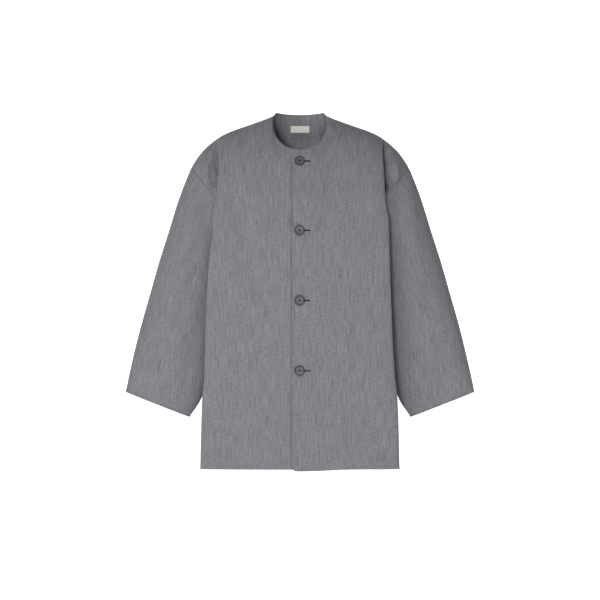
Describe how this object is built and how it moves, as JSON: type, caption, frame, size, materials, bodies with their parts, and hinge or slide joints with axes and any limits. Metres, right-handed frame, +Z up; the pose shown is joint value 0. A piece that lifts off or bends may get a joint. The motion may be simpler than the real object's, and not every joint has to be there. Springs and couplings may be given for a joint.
{
  "type": "collarless jacket",
  "caption": "Collarless drop-shoulder jacket in grey cloth, worn form with no wearer: round neck, lapped front fastened with buttons, long wide straight sleeves, plain hem.",
  "frame": {"origin": "middle of the neck opening, level with the highest points of the neckline and in the plane of the shoulder seams, where a wearer's neck and shoulders hold the jacket", "axes": "+Z up, the front faces -Y, +X is towards the wearer's left arm"},
  "size_m": [0.765, 0.2383, 0.7801],
  "materials": {
    "cloth": "matt grey melange plain weave",
    "button": "satin grey-brown, slightly mottled",
    "label": "bare cream woven tape"
  },
  "bodies": {
    "root": {"front_right": "cloth", "front_left": "cloth", "back_right": "cloth", "back_left": "cloth", "sleeve_right": "cloth", "sleeve_left": "cloth", "button_1": "button", "button_2": "button", "button_3": "button", "button_4": "button", "label": "label"}
  },
  "joints": []
}
